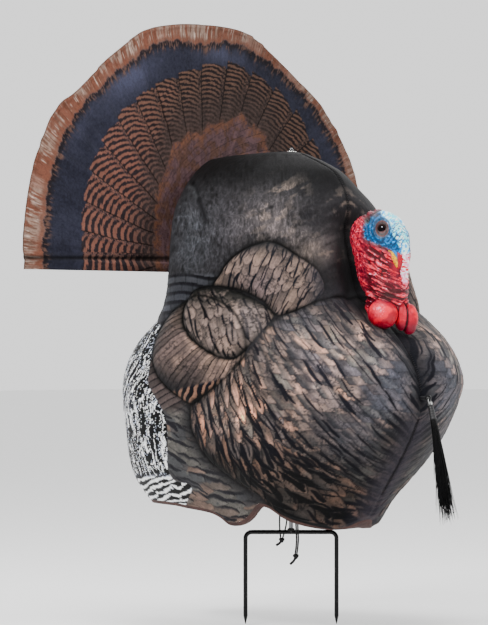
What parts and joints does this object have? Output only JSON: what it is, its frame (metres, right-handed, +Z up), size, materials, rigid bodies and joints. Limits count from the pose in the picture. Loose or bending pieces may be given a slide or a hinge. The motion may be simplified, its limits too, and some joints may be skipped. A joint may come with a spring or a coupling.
{
  "type": "strutting turkey decoy on a ground stake",
  "caption": "Full-bodied strutting turkey decoy: soft printed body shell, fold-out fabric tail fan, plug-on head and bristle beard, free to swing on a forked ground stake.",
  "frame": {"origin": "on the post's axis at the height of the crossbar's centreline, which is the ground line", "axes": "+Z up the post; the bird faces -Y and its right side is -X"},
  "size_m": [0.7092, 0.5724, 0.877],
  "materials": {
    "black_steel": "black baked enamel",
    "grey_steel": "dull drawn rod",
    "black_plastic": "moulded",
    "nickel": "plated",
    "zinc_steel": "plated",
    "feather_print": "printed cloth laminated on foam",
    "brown_tape": "sewn tape",
    "thread": "thread",
    "fan_print": "printed cloth",
    "rib_plastic": "moulded",
    "painted_vinyl": "hand-painted soft vinyl",
    "eye_gloss": "gloss",
    "bristle": "synthetic bristle",
    "elastic": "braided elastic"
  },
  "bodies": {
    "stake": {"stake_fork": "black_steel", "stake_post": "grey_steel", "stake_weld": "grey_steel", "post_cap": "black_plastic", "stop_collar": "black_plastic", "collar_screw": "zinc_steel"},
    "decoy": {"mast_tube": "black_plastic", "top_eyelet": "nickel", "eyelet_washer": "nickel", "tether_plate": "black_plastic", "fan_arm": "black_plastic", "fan_bolt": "zinc_steel", "fan_washers": "rib_plastic", "fan_wing_nut": "zinc_steel", "neck_arm": "black_plastic", "beard_stud": "black_plastic", "body_shell_right": "feather_print", "body_shell_left": "feather_print", "rim_binding_right": "brown_tape", "rim_binding_left": "brown_tape", "arch_binding_right": "brown_tape", "arch_binding_left": "brown_tape", "seam_stitching": "thread", "tether_rear_a": "elastic", "tether_rear_b": "elastic", "tether_rear_tail": "elastic", "tether_front_a": "elastic", "tether_front_b": "elastic", "tether_front_tail": "elastic", "tether_knots": "elastic"},
    "head": {"head": "painted_vinyl", "neck_peg": "black_plastic", "eye_right": "eye_gloss", "eye_left": "eye_gloss"},
    "beard": {"beard_clip": "nickel", "beard_wrap": "thread", "beard_bristles": "bristle"},
    "rib_1": {"fan_rib_1": "rib_plastic", "fan_gore_1": "fan_print"},
    "rib_2": {"fan_rib_2": "rib_plastic", "fan_gore_2": "fan_print"},
    "rib_3": {"fan_rib_3": "rib_plastic", "fan_gore_3": "fan_print"},
    "rib_4": {"fan_rib_4": "rib_plastic", "fan_gore_4": "fan_print"},
    "rib_5": {"fan_rib_5": "rib_plastic", "fan_gore_5": "fan_print"},
    "rib_6": {"fan_rib_6": "rib_plastic"}
  },
  "joints": [
    {"name": "body_swing", "type": "hinge", "parent": "stake", "child": "decoy", "pos_m": [0, 0, 0.3], "axis": [0, 0, 1], "range_deg": [-25, 25]},
    {"name": "head_turn", "type": "hinge", "parent": "decoy", "child": "head", "pos_m": [0, -0.1736, 0.3135], "axis": [0, -0.5878, 0.809], "range_deg": [-20, 20]},
    {"name": "beard_swing", "type": "hinge", "parent": "decoy", "child": "beard", "pos_m": [0, -0.272, 0.197], "axis": [1, 0, 0], "range_deg": [-20, 16]},
    {"name": "fan_fold", "type": "hinge", "parent": "decoy", "child": "rib_3", "pos_m": [0, 0.19, 0.38], "axis": [0, 1, 0], "range_deg": [0, 15.4]},
    {"name": "rib_2_fold", "type": "hinge", "parent": "rib_3", "child": "rib_2", "pos_m": [0, 0.19, 0.38], "axis": [0, 1, 0], "range_deg": [0, 30.8]},
    {"name": "rib_1_fold", "type": "hinge", "parent": "rib_2", "child": "rib_1", "pos_m": [0, 0.19, 0.38], "axis": [0, 1, 0], "range_deg": [0, 30.8]},
    {"name": "rib_4_fold", "type": "hinge", "parent": "rib_3", "child": "rib_4", "pos_m": [0, 0.19, 0.38], "axis": [0, 1, 0], "range_deg": [-30.8, 0]},
    {"name": "rib_5_fold", "type": "hinge", "parent": "rib_4", "child": "rib_5", "pos_m": [0, 0.19, 0.38], "axis": [0, 1, 0], "range_deg": [-30.8, 0]},
    {"name": "rib_6_fold", "type": "hinge", "parent": "rib_5", "child": "rib_6", "pos_m": [0, 0.19, 0.38], "axis": [0, 1, 0], "range_deg": [-30.8, 0]}
  ],
  "couplings": [
    {"joint": "rib_2_fold", "follows": "fan_fold", "ratio": 2},
    {"joint": "rib_1_fold", "follows": "fan_fold", "ratio": 2},
    {"joint": "rib_4_fold", "follows": "fan_fold", "ratio": -2},
    {"joint": "rib_5_fold", "follows": "fan_fold", "ratio": -2},
    {"joint": "rib_6_fold", "follows": "fan_fold", "ratio": -2}
  ]
}
